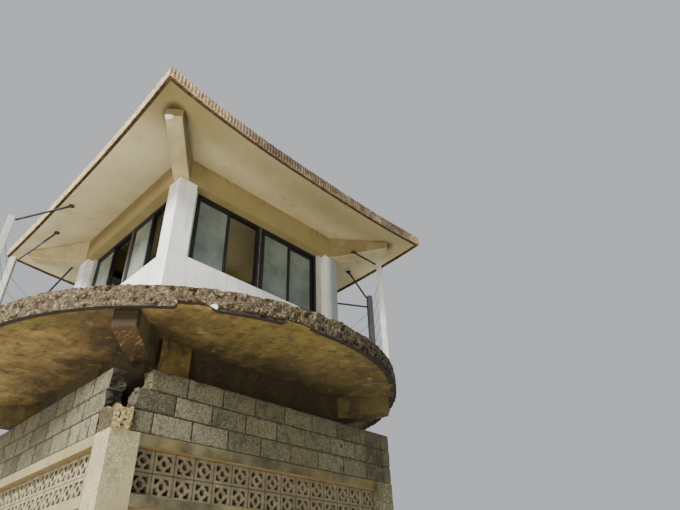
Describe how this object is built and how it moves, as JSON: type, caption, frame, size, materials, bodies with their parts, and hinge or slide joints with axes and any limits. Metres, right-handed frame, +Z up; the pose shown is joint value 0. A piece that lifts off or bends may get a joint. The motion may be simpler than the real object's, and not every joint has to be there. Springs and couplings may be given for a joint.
{
  "type": "security guard booth",
  "caption": "Raised guard booth: windowed cabin with an upturned concrete roof on a round balcony slab, over a square base with pierced vent blocks.",
  "frame": {"origin": "centre of the square base, on the ground; the round slab is set 45 mm to the left of it", "axes": "+Z up; the front, with the broken corner at its left end, faces -Y; +X to the right of it"},
  "size_m": [5.4312, 5.4312, 7.01],
  "materials": {
    "plaster": "matt",
    "block": "matt",
    "soffit_concrete": "matt",
    "slab_concrete": "matt",
    "white_paint": "matt",
    "roof_concrete": "matt",
    "black_frame": "satin",
    "dusty_glass": "dusty",
    "post_paint": "matt",
    "dark_steel": "satin",
    "wire_steel": "dull"
  },
  "bodies": {
    "root": {"base_columns": "plaster", "lower_wall_front": "block", "lower_wall_right": "block", "lower_wall_rear": "block", "lower_wall_left": "block", "sill_beams": "plaster", "vent_screen_front": "plaster", "vent_screen_right": "plaster", "vent_screen_rear": "plaster", "vent_screen_left": "plaster", "lintels": "plaster", "block_wall_front": "block", "block_wall_right": "block", "block_wall_rear": "block", "block_wall_left": "block", "beam_facings": "soffit_concrete", "inner_columns": "soffit_concrete", "tie_beams": "soffit_concrete", "corner_brackets": "soffit_concrete", "balcony_slab": "slab_concrete", "dado_wall_front": "white_paint", "dado_wall_right": "white_paint", "dado_wall_rear": "white_paint", "dado_wall_left": "white_paint", "cabin_posts": "white_paint", "jamb_strips": "white_paint", "ring_beam": "roof_concrete", "window_frames_front": "black_frame", "window_frames_right": "black_frame", "window_frames_rear": "black_frame", "window_frames_left": "black_frame", "sashes_front": "black_frame", "sashes_right": "black_frame", "sashes_rear": "black_frame", "sashes_left": "black_frame", "panes_front": "dusty_glass", "panes_right": "dusty_glass", "panes_rear": "dusty_glass", "panes_left": "dusty_glass", "hip_beams": "roof_concrete", "roof_slab": "roof_concrete", "fence_posts": "post_paint", "brace_rods": "dark_steel", "fence_wires": "wire_steel"}
  },
  "joints": []
}
